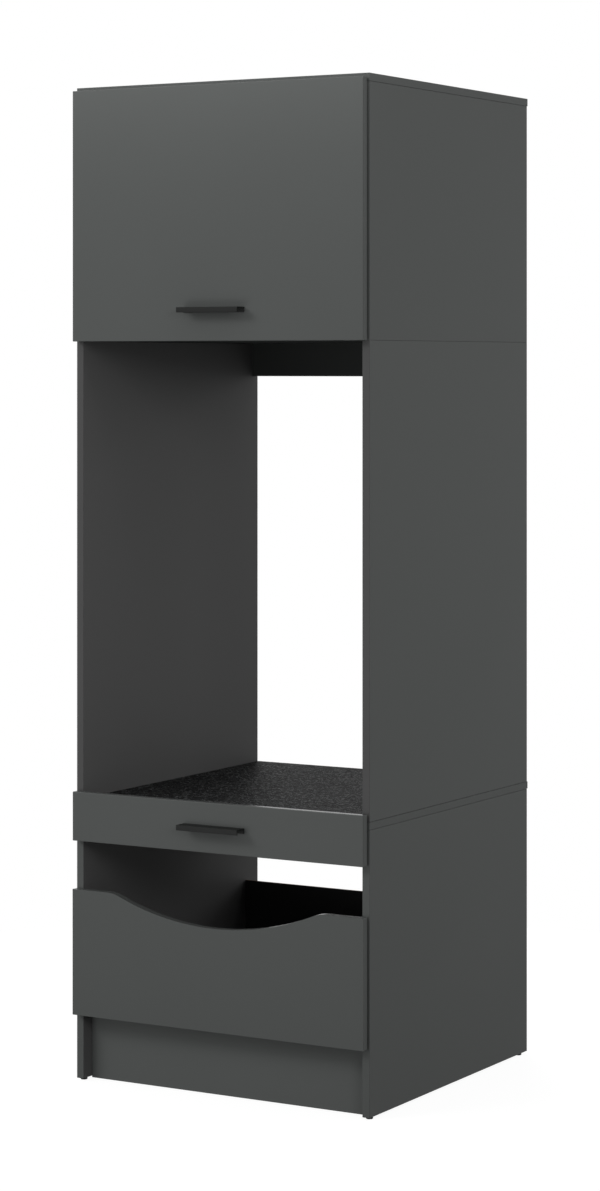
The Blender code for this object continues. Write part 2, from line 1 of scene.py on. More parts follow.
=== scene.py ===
# %% [markdown]
# # A washing machine cabinet
#
# The cabinet is a tall housing of graphite laminated board: a closed cabinet with a lift-up flap on top, an
# open bay for the machine in the middle, and a pull-out shelf and an open laundry drawer below the black
# worktop. Its solids come ready made, at their real size. This lesson gives them their finishes and edges,
# adds the small fasteners, and sets up the camera, the floor and the light.
#
# ## Load the solids
#
# The solids arrive as a fixed frame of named nodes, which ride on the cabinet's moving bodies.

# %% Load the solids
import json
from math import radians

import bpy
from mathutils import Matrix, Vector


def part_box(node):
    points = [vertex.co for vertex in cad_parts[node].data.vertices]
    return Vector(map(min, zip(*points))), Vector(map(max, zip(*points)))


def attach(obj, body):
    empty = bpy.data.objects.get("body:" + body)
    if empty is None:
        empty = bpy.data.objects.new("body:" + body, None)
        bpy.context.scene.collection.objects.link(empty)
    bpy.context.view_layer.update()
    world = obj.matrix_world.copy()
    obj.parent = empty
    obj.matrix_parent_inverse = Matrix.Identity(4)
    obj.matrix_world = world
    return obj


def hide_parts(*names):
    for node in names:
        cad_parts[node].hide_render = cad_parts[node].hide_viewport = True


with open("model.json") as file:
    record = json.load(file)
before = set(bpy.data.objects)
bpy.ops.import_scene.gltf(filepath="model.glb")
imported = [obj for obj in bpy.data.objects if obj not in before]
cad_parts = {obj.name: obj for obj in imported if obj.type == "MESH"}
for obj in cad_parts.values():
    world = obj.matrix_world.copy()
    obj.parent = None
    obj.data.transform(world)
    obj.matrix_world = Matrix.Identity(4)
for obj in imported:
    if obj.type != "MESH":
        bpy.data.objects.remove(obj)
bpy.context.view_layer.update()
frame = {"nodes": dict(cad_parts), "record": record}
mm = 0.001
bodies = frame["record"]["behaviour"]["bodies"]
body_of_node = {node: body for body, nodes in bodies.items() for node in nodes}
slot_of_node = {part["node"]: part["material_slot"] for part in frame["record"]["subparts"]}

# %% [markdown]
# ## Camera
#
# A product photograph of furniture is taken from head height with a long lens, held level so that the
# uprights stay parallel, and shifted down instead of tilted. The camera below does the same, and it stands to
# the right of the cabinet, as the photographer did.

# %% Camera
camera_data = bpy.data.cameras.new("camera")
camera_data.lens = 94.28
camera_data.sensor_width = 36
camera_data.shift_y = -0.1929
camera_data.clip_end = 100
camera = bpy.data.objects.new("camera", camera_data)
camera.location = (3.2256, -5.5231, 1.4403)
camera.rotation_euler = (radians(90), 0, radians(30.3))
bpy.context.scene.collection.objects.link(camera)
bpy.context.scene.camera = camera
print("camera is", round(camera.location.xy.length, 2), "m away")

# %% [markdown]
# ## Write a finish as sums and products
#
# A material is a network of nodes, and a network is hard to read as code. Three small classes help. A signal
# is the output of a node that adds, subtracts and multiplies like a number, so two noises can be blended with
# `clouds * 0.5 + grain * 0.5`. A network has a single method that adds any node to it, and a finish is the
# network of one material. The light around the cabinet is written with a network of its own at the end.

# %% Signals and networks
class Signal:
    """The output of a node, which sums and products are written with."""

    def __init__(self, network, socket):
        self.network, self.socket = network, socket

    def maths(self, operation, *values):
        return self.network.node("ShaderNodeMath", {"operation": operation}, dict(enumerate(values)))

    def __add__(self, other):
        return self.maths("ADD", self, other)

    def __radd__(self, other):
        return self.maths("ADD", other, self)

    def __sub__(self, other):
        return self.maths("SUBTRACT", self, other)

    def __rsub__(self, other):
        return self.maths("SUBTRACT", other, self)

    def __mul__(self, other):
        return self.maths("MULTIPLY", self, other)

    def __rmul__(self, other):
        return self.maths("MULTIPLY", other, self)


class Network:
    """A tree of nodes, to which one method adds any node."""

    def __init__(self, tree):
        self.tree = tree

    def feed(self, socket, value):
        """Puts a signal, a colour or a number into a socket."""
        if isinstance(value, Signal):
            self.tree.links.new(value.socket, socket)
        elif isinstance(value, tuple) and len(value) == 3 and socket.type == "RGBA":
            socket.default_value = (*value, 1)
        else:
            socket.default_value = value

    def node(self, kind, settings=None, sockets=None, output=0):
        """Adds a node, sets it up and feeds its sockets, and gives back one of its outputs."""
        made = self.tree.nodes.new(kind)
        for name, value in (settings or {}).items():
            setattr(made, name, value)
        for name, value in (sockets or {}).items():
            self.feed(made.inputs[name], value)
        return Signal(self, made.outputs[output])

    def white_to_the_eye(self, dim, white):
        """Two shaders in one: white for the camera, mirrors and glass, and dim for all other light."""
        seen = self.node("ShaderNodeLightPath", output="Is Camera Ray")
        for ray in ("Is Glossy Ray", "Is Transmission Ray"):
            seen = seen.maths("MAXIMUM", seen, self.node("ShaderNodeLightPath", output=ray))
        return self.node("ShaderNodeMixShader", {}, {0: seen, 1: dim, 2: white})


class Finish(Network):
    """The network of one material."""

    def __init__(self, name, **values):
        self.material = bpy.data.materials.new(name)
        self.material.use_nodes = True
        super().__init__(self.material.node_tree)
        self.shader = self.tree.nodes["Principled BSDF"]
        self.output = self.tree.nodes["Material Output"]
        for socket, value in values.items():
            self.set(socket.replace("_", " "), value)

    def set(self, socket, value):
        self.feed(self.shader.inputs[socket], value)

    def place(self):
        """Where a point of the surface is, in metres."""
        return self.node("ShaderNodeTexCoord", output="Object")

    def noise(self, scale, detail, stretch=None):
        """Cloudy noise, from 0 to 1, which a stretch draws out along an axis."""
        where = self.place()
        if stretch:
            where = self.node("ShaderNodeVectorMath", {"operation": "MULTIPLY"}, {0: where, 1: stretch})
        return self.node("ShaderNodeTexNoise", {}, {"Vector": where, "Scale": scale, "Detail": detail})

    def cells(self, scale):
        """A random value for each cell of a pattern of grains: the red part of the cell's random colour."""
        colour = self.node("ShaderNodeTexVoronoi", {}, {"Vector": self.place(), "Scale": scale}, "Color")
        return self.node("ShaderNodeSeparateColor", {}, {"Color": colour})

    def band(self, value, low, high, first=0.0, last=1.0):
        """Goes from first to last as a value goes from low to high, and stays there."""
        return self.node("ShaderNodeMapRange", {"clamp": True},
                         {"Value": value, "From Min": low, "From Max": high, "To Min": first, "To Max": last})

    def mix(self, mask, first, second):
        """A colour between two, first where the mask is 0."""
        return self.node("ShaderNodeMix", {"data_type": "RGBA"}, {0: mask, 6: first, 7: second}, 2)

    def bump(self, height, depth, strength):
        """Raises the surface by up to a depth in metres."""
        self.set("Normal", self.node("ShaderNodeBump", {}, {"Strength": strength, "Distance": depth,
                                                            "Height": height}))


def shade(colour, share):
    """A colour made lighter or darker."""
    return tuple(part * share for part in colour)


print("three classes: Signal, Network and Finish")

# %% [markdown]
# ## Graphite laminate
#
# The board is chipboard with a matt melamine face. From a step away it is one even graphite, slightly green.
# Close up the press plate has left a fine pearl grain, and the paper under the resin is not perfectly even.
# Both come from noise: a slow one for the cloudiness, and a fast one, about a millimetre across, for the
# grain.
#
# Every face is the same board, but not every face gets the same colour. The faces inside the carcass are
# painted a lighter, neutral grey and the plinth a touch lighter than the fronts: painted light, which stands
# in for the light that the deep bay and the recess below the drawer don't get. The rail and the underside of
# the closed cabinet are painted darker, as painted shade in the dim gap below the closed cabinet, and they
# are duller. One function makes them all from a colour, a roughness and a sheen.

# %% Graphite laminate
graphite = (0.080, 0.0845, 0.0825)
# Painted light: the inside faces are the same graphite board, painted a lighter neutral grey for the light
# the bay lacks.
light_painted_inner_grey = (0.106, 0.106, 0.106)


def laminate(name, colour, roughness, sheen=0.08):
    """A melamine face: faint clouds, a fine pearl grain and a matt sheen."""
    finish = Finish(name, Specular_IOR_Level=sheen)
    clouds, grain, pores = finish.noise(3.2, 4), finish.noise(950, 3), finish.noise(2600, 2)
    finish.set("Base Color", finish.mix(clouds * 0.5 + grain * 0.5, shade(colour, 0.93), shade(colour, 1.07)))
    finish.set("Roughness", finish.band(clouds + grain, 0.6, 1.4, roughness - 0.04, roughness + 0.04))
    finish.bump(grain * 0.7 + pores * 0.3, 0.06 * mm, 0.35)
    return finish.material


board_face = laminate("graphite_board_face", graphite, 0.50)
front_face = laminate("graphite_front_face", graphite, 0.46)
# Painted light: the plinth is painted lighter than the fronts for the shade under the drawer's overhang.
light_painted_plinth_face = laminate("graphite_plinth_face", shade(graphite, 1.14), 0.50)
# The inside faces take the lighter painted grey, painted light for the dim bay.
light_painted_inner_face = laminate("graphite_inner_face", light_painted_inner_grey, 0.56, 0.05)
# Painted shade: the underside of the closed cabinet is painted darker for the dim gap below it.
shade_painted_underside_face = laminate("graphite_underside_face", shade(graphite, 0.62), 0.80, 0.0)
# Painted shade: the rail under the closed cabinet is painted darker for the dim gap it stands in.
shade_painted_rail_face = laminate("graphite_rail_face", shade(graphite, 0.52), 0.60, 0.04)
print("graphite:", [round(part, 4) for part in graphite])

# %% [markdown]
# ## Edge banding and the raw core
#
# The board's edges are closed with a thin plastic strip of the same graphite. The milling knife leaves faint
# ripples across it, so it gets its own finish. Where hands and washing rub along it, as on the upper edges of
# the fronts, it has grown smoother and catches a thin line of light. Edges that nobody sees stay open and
# show the pressed wood chips of the core: short light and dark flakes, which a cell pattern gives.

# %% Edge banding and core
def banding(name, colour, roughness=0.50, sheen=0.07):
    """A plastic edge strip with faint knife ripples."""
    finish = Finish(name, Specular_IOR_Level=sheen)
    ripples, clouds = finish.noise(500, 2), finish.noise(9, 2)
    finish.set("Base Color", finish.mix(clouds, shade(colour, 0.96), shade(colour, 1.06)))
    finish.set("Roughness", finish.band(ripples, 0.3, 0.7, roughness - 0.04, roughness + 0.04))
    finish.bump(ripples, 0.03 * mm, 0.25)
    return finish.material


def chipboard_core():
    """Pressed flakes, from straw to brown, with small dark gaps between them."""
    finish = Finish("chipboard_core", Roughness=0.85, Specular_IOR_Level=0.2)
    flakes = finish.cells(420)
    gaps = finish.band(finish.noise(900, 3), 0.32, 0.46)
    wood = finish.mix(flakes, (0.30, 0.19, 0.10), (0.56, 0.41, 0.25))
    finish.set("Base Color", finish.mix(gaps, (0.12, 0.075, 0.04), wood))
    finish.bump(flakes * 0.5 + gaps * 0.5, 0.3 * mm, 0.6)
    return finish.material


edge_strip = banding("graphite_edge_strip", graphite)
rubbed_strip = banding("graphite_rubbed_edge_strip", graphite, 0.24, 0.12)
inner_strip = banding("graphite_inner_edge_strip", (0.068, 0.068, 0.068))
core = chipboard_core()
print("three edge strips and the core")

# %% [markdown]
# ## Granite-look worktop
#
# The machine stands on a black laminate with a crystal surface. Tiny light specks are scattered in it, no
# larger than grains of sand. Each grain of a cell pattern has a random value, and only the few with the
# highest values are made light. The worktop's edges are graphite like the rest, so only its two large faces
# get this.

# %% Worktop laminate
def granite_laminate():
    """Black with sparse light grains and a crystal bump."""
    finish = Finish("granite_worktop", Specular_IOR_Level=0.02)
    fine, coarse = finish.cells(480), finish.cells(210)
    specks = finish.band(fine, 0.92, 0.94)
    patches = finish.band(coarse, 0.945, 0.965)
    ground = finish.mix(finish.noise(60, 4), (0.005, 0.005, 0.0054), (0.010, 0.010, 0.0104))
    spotted = finish.mix(specks * 0.7, ground, (0.22, 0.23, 0.23))
    finish.set("Base Color", finish.mix(patches * 0.6, spotted, (0.20, 0.205, 0.205)))
    finish.set("Roughness", finish.band(coarse, 0.0, 1.0, 0.46, 0.70))
    finish.bump(finish.noise(480, 3) * 0.7 + fine * 0.3, 0.15 * mm, 0.6)
    return finish.material


granite = granite_laminate()
print("granite worktop")

# %% [markdown]
# ## Fibreboard, powder coat, plastic and metals
#
# The backs are thin fibreboard with a plain black face. The handles are powder coated: matt black with a very
# fine orange peel. Hinges, brackets and runners are zinc plated steel, which is cloudy and slightly blue, and
# the rod of the gas strut is ground and polished. Two functions make them all, one for coats of paint and
# moulded plastic and one for metals.

# %% Other finishes
def painted(name, colour, roughness, grain, depth):
    """A coat of paint, powder or moulded plastic with an even fine peel."""
    finish = Finish(name, Specular_IOR_Level=0.12)
    peel, clouds = finish.noise(grain, 2), finish.noise(14, 2)
    finish.set("Base Color", finish.mix(clouds * 0.5 + peel * 0.5, shade(colour, 0.85), shade(colour, 1.15)))
    finish.set("Roughness", finish.band(peel, 0.3, 0.7, roughness - 0.05, roughness + 0.05))
    finish.bump(peel, depth, 0.4)
    return finish.material


def plated(name, colour, low, high, cloud_scale, stretch=None):
    """Bare or plated metal, whose gloss varies in clouds or along the rolling direction."""
    finish = Finish(name, Metallic=1.0)
    clouds, scratches = finish.noise(cloud_scale, 3), finish.noise(700, 2, stretch)
    finish.set("Base Color", finish.mix(clouds, shade(colour, 0.88), shade(colour, 1.08)))
    finish.set("Roughness", finish.band(clouds * 0.6 + scratches * 0.4, 0.3, 0.7, low, high))
    finish.bump(scratches, 0.02 * mm, 0.3)
    return finish.material


fibre_face = painted("black_fibreboard_face", (0.026, 0.026, 0.0263), 0.62, 1500, 0.03 * mm)
powder_coat = painted("black_powder_coat", (0.0118, 0.0125, 0.0121), 0.50, 2400, 0.04 * mm)
strut_paint = painted("black_strut_paint", (0.014, 0.014, 0.015), 0.32, 1800, 0.02 * mm)
glide_plastic = painted("black_plastic_moulded", (0.016, 0.016, 0.016), 0.5, 900, 0.03 * mm)
zinc = plated("zinc_plated_steel", (0.58, 0.60, 0.62), 0.30, 0.46, 60)
rolled_zinc = plated("rolled_zinc_steel", (0.60, 0.61, 0.63), 0.28, 0.42, 40, (1.0, 0.03, 1.0))
cast_zinc = plated("cast_zinc", (0.40, 0.41, 0.42), 0.42, 0.58, 150)
polished = plated("polished_steel", (0.74, 0.74, 0.75), 0.10, 0.18, 90)
print(len(bpy.data.materials), "materials so far")

# %% [markdown]
# ## Dress the boards
#
# The solids come as loose triangles, so each board gets a merged copy that stands for it. On the copy the
# faces are sorted by the way they point. The two large ones are laminate, and the rest is edge: the strip
# where it can be seen, the open core where it can't. A rounded edge belongs to the strip, which puts the
# joint between strip and face where it really is, a millimetre inside the edge.

# %% Helpers for merged copies
weld_distance = mm / 200
flat_angle = radians(0.2)


def deselect():
    for thing in bpy.context.selected_objects:
        thing.select_set(False)


def choose(piece):
    """Makes a piece the only one that is selected, and the active one."""
    deselect()
    piece.select_set(True)
    bpy.context.view_layer.objects.active = piece


def merged_copy(node):
    """A copy of a solid with its triangles joined, which stands for the solid and rides on its body."""
    piece = bpy.data.objects.new(node + "_dressed", frame["nodes"][node].data.copy())
    bpy.context.scene.collection.objects.link(piece)
    choose(piece)
    if piece.data.has_custom_normals:
        bpy.ops.mesh.customdata_custom_splitnormals_clear()
    bpy.ops.object.mode_set(mode="EDIT")
    bpy.ops.mesh.select_all(action="SELECT")
    bpy.ops.mesh.remove_doubles(threshold=weld_distance)
    bpy.ops.mesh.dissolve_limited(angle_limit=flat_angle)
    bpy.ops.object.mode_set(mode="OBJECT")
    piece.data.materials.clear()
    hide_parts(node)
    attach(piece, body_of_node[node])
    return piece


print("helpers ready")

# %% [markdown]
# ## Sort the faces of a board
#
# A facet's normal says what it is. Along the board's thin axis it is one of the large faces, and any other
# normal belongs to an edge. How squarely a normal has to lie along an axis is a share from 0 to 1. Where the
# rear edge stays open, it shows the core.

# %% Helper for the boards
axis_of = {"X": Vector((1, 0, 0)), "Y": Vector((0, 1, 0)), "Z": Vector((0, 0, 1))}
sides = (("left", 1), ("right", -1))
face_index, strip_index, core_index, lining_index, rubbed_index = range(5)
exactly, nearly, upwards = 0.999, 0.9, 0.3


def dress_board(node, thin, face, strip=edge_strip, open_rear=False, lining=None, lined=1):
    """Lays the face finish on a board's large sides, the strip round its edges and the core on an open rear.

    A lining goes on one of the large sides in place of the face, the one whose normal has the lined sign."""
    piece = merged_copy(node)
    for material in (face, strip, core, lining or face):
        piece.data.materials.append(material)
    for facet in piece.data.polygons:
        facing = facet.normal.dot(axis_of[thin])
        if open_rear and facet.normal.y > nearly:
            facet.material_index = core_index
        elif abs(facing) <= exactly:
            facet.material_index = strip_index
        else:
            facet.material_index = lining_index if facing * lined > 0 else face_index
    return piece


print("places for", rubbed_index + 1, "finishes on a board")

# %% Boards
boards = {}
for side, inward in sides:
    for part in ("base_side_", "upper_side_"):
        boards[part + side] = dress_board(part + side, "X", board_face, lining=light_painted_inner_face, lined=inward)
    boards["bay_side_" + side] = dress_board("bay_side_" + side, "X", board_face, strip=inner_strip,
                                             lining=light_painted_inner_face, lined=inward)
    for part in ("pullout_cleat_", "drawer_side_"):
        boards[part + side] = dress_board(part + side, "X", light_painted_inner_face, open_rear=True)
for node in ("base_rear_rail", "drawer_back"):
    boards[node] = dress_board(node, "Y", light_painted_inner_face)
boards["bay_rear_rail"] = dress_board("bay_rear_rail", "Y", shade_painted_rail_face)
for node in ("base_bottom", "upper_shelf", "pullout_board"):
    boards[node] = dress_board(node, "Z", light_painted_inner_face, open_rear=True)
boards["upper_bottom"] = dress_board("upper_bottom", "Z", light_painted_inner_face, open_rear=True,
                                     lining=shade_painted_underside_face, lined=-1)
for node in ("flap_door", "pullout_front", "drawer_front"):
    boards[node] = dress_board(node, "Y", front_face)
    boards[node].data.materials.append(rubbed_strip)
    for facet in boards[node].data.polygons:
        if facet.normal.z > upwards:
            facet.material_index = rubbed_index
boards["plinth"] = dress_board("plinth", "Y", light_painted_plinth_face)
boards["top_panel"] = dress_board("top_panel", "Z", board_face, open_rear=True)
boards["worktop"] = dress_board("worktop", "Z", granite)
print(len(boards), "boards dressed")

# %% [markdown]
# ## The thin boards
#
# The back of the upper cabinet, the board behind the drawer and the drawer's bottom are black fibreboard,
# brown and furry only on its cut edges. One finish on the faces and a brown one on the thin edges is enough.

# %% Thin boards
def fibreboard_edge():
    """The brown, furry cut edge of fibreboard."""
    finish = Finish("fibreboard_edge", Roughness=0.9, Specular_IOR_Level=0.15)
    fibres = finish.noise(1400, 4)
    finish.set("Base Color", finish.mix(fibres, (0.10, 0.062, 0.035), (0.22, 0.145, 0.085)))
    finish.bump(fibres, 0.08 * mm, 0.6)
    return finish.material


fibre_edge = fibreboard_edge()
thin_boards = {}
for node, thin in (("base_back_board", "Y"), ("upper_back", "Y"), ("drawer_bottom", "Z")):
    thin_boards[node] = merged_copy(node)
    for material in (fibre_face, fibre_edge):
        thin_boards[node].data.materials.append(material)
    for facet in thin_boards[node].data.polygons:
        flat = abs(facet.normal.dot(axis_of[thin])) > exactly
        facet.material_index = face_index if flat else strip_index
print(len(thin_boards), "thin boards dressed")

# %% [markdown]
# ## Handles and fittings
#
# The handles, hinges, strut, runners, pins and glides keep their solids' shape. Each gets a merged copy in
# its finish. Their shading is made smooth further down, together with the boards'.

# %% Handles and fittings
finish_of_slot = {"black_handle": powder_coat, "black_plastic": glide_plastic, "zinc_steel": zinc,
                  "bright_steel": polished, "black_strut": strut_paint}
fittings = {}
for node, slot_name in slot_of_node.items():
    if slot_name in finish_of_slot:
        fittings[node] = merged_copy(node)
        finish = rolled_zinc if "runner" in node else finish_of_slot[slot_name]
        fittings[node].data.materials.append(finish)
print(len(fittings), "fittings dressed")

# %% [markdown]
# ## Model the heads of the screws, cams and nails
#
# The fittings are held by cross-head screws, the rails and the base's bottom by cams, the round locks of
# flat-pack furniture, and the thin back by nails. Only the heads can be seen, so only they are modelled.
# Each starts as a short cylinder that faces upwards at the origin. Its top face is inset and lifted in steps,
# which makes the dome, and two tapered bars cut the cross, which only the nail does without. A screw head is
# so small that twenty sides are enough. The nail has twelve and the wider cam thirty-two.

# %% Helpers for modelling by hand
def open_with(piece, chosen):
    """Goes into edit mode with only the chosen faces of a piece selected."""
    choose(piece)
    bpy.ops.object.mode_set(mode="EDIT")
    bpy.ops.mesh.select_mode(type="FACE")
    bpy.ops.mesh.select_all(action="DESELECT")
    bpy.ops.object.mode_set(mode="OBJECT")
    for facet in piece.data.polygons:
        facet.select = chosen(facet)
    bpy.ops.object.mode_set(mode="EDIT")


def settle():
    """Leaves the active piece in object mode, with its place in its mesh."""
    bpy.ops.object.mode_set(mode="OBJECT")
    bpy.ops.object.transform_apply(location=True, rotation=True, scale=True)


def cut_away(piece, cutter):
    """Takes a cutter's shape out of a piece and throws the cutter away."""
    choose(piece)
    modifier = piece.modifiers.new("cut", "BOOLEAN")
    modifier.object, modifier.operation, modifier.solver = cutter, "DIFFERENCE", "EXACT"
    bpy.ops.object.modifier_apply(modifier="cut")
    bpy.data.objects.remove(cutter)


print("helpers for edit mode, placing and cutting")

# %% Helpers for the heads
dome_steps = ((0.12, 0.45), (0.20, 0.35), (0.30, 0.20))
arm_taper = 0.6


def domed_disc(name, radius, rim, dome, corners=20):
    """A round head on the ground at the origin: a straight rim, then a dome in three steps."""
    deselect()
    bpy.ops.mesh.primitive_cylinder_add(vertices=corners, radius=radius, depth=rim, location=(0, 0, rim / 2))
    disc = bpy.context.object
    disc.name = name
    settle()
    open_with(disc, lambda facet: facet.normal.z > nearly)
    for inset_share, rise_share in dome_steps:
        bpy.ops.mesh.inset(thickness=radius * inset_share)
        bpy.ops.transform.translate(value=(0, 0, dome * rise_share))
    settle()
    return disc


def cut_cross(head, top, reach, width, depth):
    """Cuts a cross recess with tapered arms into the top of a head."""
    for angle in (0, 90):
        deselect()
        bpy.ops.mesh.primitive_cube_add(size=1, location=(0, 0, top), rotation=(0, 0, radians(angle)),
                                        scale=(reach, width, depth * 2))
        bar = bpy.context.object
        settle()
        open_with(bar, lambda facet: facet.normal.z < -nearly)
        bpy.ops.transform.resize(value=(arm_taper, arm_taper, 1))
        settle()
        cut_away(head, bar)
    return head


def cross_head(name, radius, rim, dome, reach, width, depth, corners=20):
    """A domed head with a cross in its top, from sizes in millimetres."""
    head = domed_disc(name, radius * mm, rim * mm, dome * mm, corners)
    return cut_cross(head, (rim + dome) * mm, reach * mm, width * mm, depth * mm)


print("a dome rises in", len(dome_steps), "steps")

# %% Heads
pan_head = cross_head("pan_head", radius=3.6, rim=1.2, dome=1.2, reach=4.2, width=1.0, depth=1.3)
low_head = cross_head("low_head", radius=3.1, rim=0.5, dome=0.8, reach=3.4, width=0.8, depth=0.9)
flush_head = cross_head("flush_head", radius=2.5, rim=0.6, dome=0.3, reach=2.9, width=0.7, depth=0.6)
cam_head = cross_head("cam_head", radius=7.5, rim=0.4, dome=0.2, reach=8.0, width=1.8, depth=0.5, corners=32)
nail_head = domed_disc("nail_head", 1.6 * mm, 0.2 * mm, 0.35 * mm, 12)
masters = (pan_head, low_head, flush_head, cam_head, nail_head)
print({master.name: len(master.data.polygons) for master in masters})

# %% [markdown]
# ## Pull the joints under the closed cabinet tight
#
# The solids keep a fine gap at every joint, so that each can be made and moved on its own. At eye level,
# below the closed cabinet, one looks straight along that gap, and it would let a hair of daylight in. On the
# real cabinet the cams pull the joint tight, so the upper edges of the dressed copies are moved up against
# the closed cabinet. Their rounded edges stay, and with them the fine line that shows where two boards meet.

# %% Bay boards against the closed cabinet
joint_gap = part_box("upper_bottom")[0][2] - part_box("bay_rear_rail")[1][2]
edge_height = 2 * mm
off_the_face = 0.99
for node, thin in (("bay_rear_rail", "Y"), ("bay_side_left", "X"), ("bay_side_right", "X")):
    edge_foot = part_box(node)[1][2] - edge_height
    open_with(boards[node], lambda facet: facet.center.z > edge_foot
              and abs(facet.normal.dot(axis_of[thin])) < off_the_face)
    bpy.ops.transform.translate(value=(0, 0, joint_gap))
    bpy.ops.object.mode_set(mode="OBJECT")
print("gap closed in mm:", round(joint_gap / mm, 2))

# %% [markdown]
# ## Bore the rows of shelf holes
#
# The loose shelf can lie at other heights: above and below each of its pins the sides have blind holes, 32 mm
# apart, which is how boring machines space them. A short cylinder cuts each hole out of the dressed copy of
# the side. The cylinder brings the core's finish with it, so that the wall of the hole shows raw board.

# %% Shelf holes
hole_pitch, hole_radius, hole_depth = 32 * mm, 2.5 * mm, 9 * mm
hole_steps = (-4, -3, -2, -1, 1, 2, 3, 4)


def bore_hole(board, spot):
    """Cuts a blind hole into a board's inner face, and lines it with the core's finish."""
    deselect()
    bpy.ops.mesh.primitive_cylinder_add(vertices=16, radius=hole_radius, depth=2 * hole_depth, location=spot,
                                        rotation=(0, radians(90), 0))
    drill = bpy.context.object
    settle()
    for material in board.data.materials:
        drill.data.materials.append(material)
    for facet in drill.data.polygons:
        facet.material_index = core_index
    cut_away(board, drill)


holes = 0
for side, inward in sides:
    board = boards["upper_side_" + side]
    low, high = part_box("upper_side_" + side)
    face = high[0] if inward > 0 else low[0]
    for end in ("front", "rear"):
        low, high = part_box(f"shelf_pin_{end}_{side}")
        for step in hole_steps:
            bore_hole(board, (face, (low[1] + high[1]) / 2, (low[2] + high[2]) / 2 + step * hole_pitch))
            holes += 1
print(holes, "holes,", len(boards["upper_side_left"].data.polygons), "faces in the left side")

# %% [markdown]
# ## Put the fasteners in their places
#
# A set of fasteners is one piece: its heads are copied from the master, each is turned to face the way it
# was driven from and spun a little differently, and they are joined. The set rides on the body of the board
# or fitting that it sits in, so that the screws of the flap's handle go up with the flap. Their places are
# worked out from the boxes of the boards and fittings.

# %% Fastener sets
first_turn, next_turn, head_smooth_angle = 12, 37, radians(30)
fasteners = []


def fasten(name, node, master, spots, facing, finish=zinc):
    """Makes a set of copies of a master at some spots, which rides with a node and wears the given finish."""
    turned = Vector(facing).to_track_quat("Z", "Y").to_matrix().to_4x4()
    heads = []
    for count, spot in enumerate(spots):
        head = master.copy()
        head.data = master.data.copy()
        bpy.context.scene.collection.objects.link(head)
        spin = Matrix.Rotation(radians(first_turn + next_turn * count), 4, "Z")
        head.matrix_world = Matrix.Translation(spot) @ turned @ spin
        heads.append(head)
    deselect()
    for head in heads:
        head.select_set(True)
    bpy.context.view_layer.objects.active = heads[0]
    bpy.ops.object.transform_apply(location=True, rotation=True, scale=True)
    if len(heads) > 1:
        bpy.ops.object.join()
    piece = bpy.context.view_layer.objects.active
    piece.name = name
    piece.data.materials.clear()
    piece.data.materials.append(finish)
    bpy.ops.object.shade_smooth_by_angle(angle=head_smooth_angle)
    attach(piece, body_of_node[node])
    fasteners.append(piece)


handle_screw_offset = 48 * mm
for front, handle in (("flap_door", "flap_handle"), ("pullout_front", "pullout_handle")):
    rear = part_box(front)[1][1]
    low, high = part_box(handle)
    height = (low[2] + high[2]) / 2
    spots = [(sign * handle_screw_offset, rear, height) for sign in (-1, 1)]
    fasten(handle + "_screws", front, pan_head, spots, (0, 1, 0))
print(len(fasteners), "sets for the handles")

# %% Screws of the hinges
leaf_rise = 1.5 * mm
leaf_screws = ((-15 * mm, 8 * mm), (0, 18 * mm), (15 * mm, 8 * mm))
flap_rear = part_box("flap_door")[1][1]
leaf_face = flap_rear + leaf_rise
for side, _ in sides:
    low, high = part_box("hinge_carcass_leaf_" + side)
    middle = (low[0] + high[0]) / 2
    spots = [(middle + across, high[1] - inset, low[2]) for across, inset in leaf_screws]
    fasten("hinge_carcass_leaf_screws_" + side, "hinge_carcass_leaf_" + side, low_head, spots, (0, 0, -1))
    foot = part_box("hinge_flap_leaf_" + side)[0][2]
    spots = [(middle + across, leaf_face, foot + inset) for across, inset in leaf_screws]
    fasten("hinge_flap_leaf_screws_" + side, "hinge_flap_leaf_" + side, low_head, spots, (0, 1, 0))
print(len(fasteners), "sets with the hinges")

# %% Screws of the strut's brackets
side_plate, side_screw_offset = 2 * mm, 13.5 * mm
low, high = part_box("strut_bracket_side")
plate_face, middle, height = high[0] - side_plate, (low[1] + high[1]) / 2, (low[2] + high[2]) / 2
spots = [(plate_face, middle, height + sign * side_screw_offset) for sign in (-1, 1)]
fasten("strut_bracket_side_screws", "strut_bracket_side", low_head, spots, (-1, 0, 0))
bracket_rise, flap_screw_inset, flap_screw_offset = 2.3 * mm, 9 * mm, 11 * mm
low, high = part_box("strut_bracket_flap")
bracket_face, height = flap_rear + bracket_rise, (low[2] + high[2]) / 2
spots = [(low[0] + flap_screw_inset, bracket_face, height + sign * flap_screw_offset) for sign in (-1, 1)]
fasten("strut_bracket_flap_screws", "strut_bracket_flap", low_head, spots, (0, 1, 0))
print(len(fasteners), "sets with the brackets")

# %% Screws in the holes of the runners
runner_screw_inset, screw_sunk = 35 * mm, 0.2 * mm
for group in ("pullout", "drawer"):
    for side, inward in sides:
        for member, facing in (("outer", inward), ("inner", -inward)):
            node = f"{group}_runner_{member}_{side}"
            low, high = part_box(node)
            rows = (low[1] + runner_screw_inset, (low[1] + high[1]) / 2, high[1] - runner_screw_inset)
            height = (low[2] + high[2]) / 2
            seat = (low[0] if facing > 0 else high[0]) + facing * screw_sunk
            spots = [(seat, row, height) for row in rows]
            fasten(node + "_screws", node, flush_head, spots, (facing, 0, 0))
print(len(fasteners), "sets with the runners")

